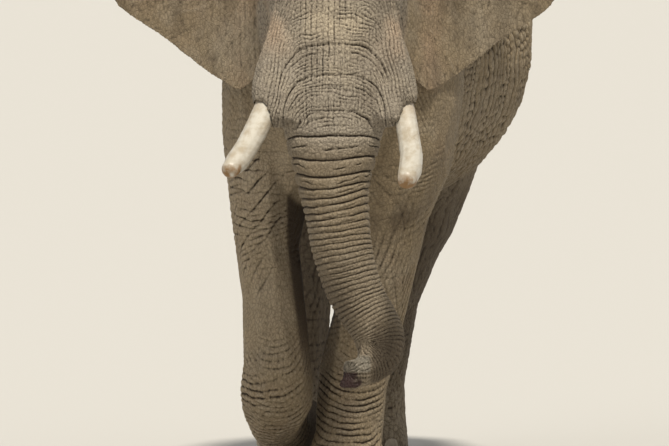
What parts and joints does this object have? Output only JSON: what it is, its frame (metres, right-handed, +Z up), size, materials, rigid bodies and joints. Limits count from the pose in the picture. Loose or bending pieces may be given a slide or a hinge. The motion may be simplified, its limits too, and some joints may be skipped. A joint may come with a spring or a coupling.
{
  "type": "elephant",
  "caption": "Standing African elephant in mid stride, trunk hanging, ears spread, with tusks; a still life-size figure.",
  "frame": {"origin": "on the floor under the middle of the bounding box", "axes": "+Z up; the animal faces -Y, so +Y is its length from tusks to tail; its left side is +X"},
  "size_m": [2.2521, 4.1928, 3.205],
  "materials": {
    "skin": "dry, deeply wrinkled hide, grey-brown with pale dust",
    "ivory": "satin cream ivory, stained brown at the worn tips",
    "eye": "wet dark brown",
    "nail": "dull horn, scuffed",
    "hair": "coarse black wiry hair"
  },
  "bodies": {
    "root": {"head": "skin", "neck": "skin", "forequarters": "skin", "barrel": "skin", "rump": "skin", "trunk_upper": "skin", "trunk_middle": "skin", "trunk_tip": "skin", "jaw": "skin", "ear_left": "skin", "ear_right": "skin", "tail": "skin", "leg_front_left_upper": "skin", "leg_front_left_lower": "skin", "leg_front_right_upper": "skin", "leg_front_right_lower": "skin", "leg_hind_left_upper": "skin", "leg_hind_left_lower": "skin", "leg_hind_right_upper": "skin", "leg_hind_right_lower": "skin", "foot_front_left": "skin", "foot_front_right": "skin", "foot_hind_left": "skin", "foot_hind_right": "skin", "tail_tuft": "hair", "tusk_left": "ivory", "tusk_right": "ivory", "eye_left": "eye", "eye_right": "eye", "nail_front_left_1": "nail", "nail_front_left_2": "nail", "nail_front_left_3": "nail", "nail_front_left_4": "nail", "nail_front_right_1": "nail", "nail_front_right_2": "nail", "nail_front_right_3": "nail", "nail_front_right_4": "nail", "nail_hind_left_1": "nail", "nail_hind_left_2": "nail", "nail_hind_left_3": "nail", "nail_hind_right_1": "nail", "nail_hind_right_2": "nail", "nail_hind_right_3": "nail"}
  },
  "joints": []
}
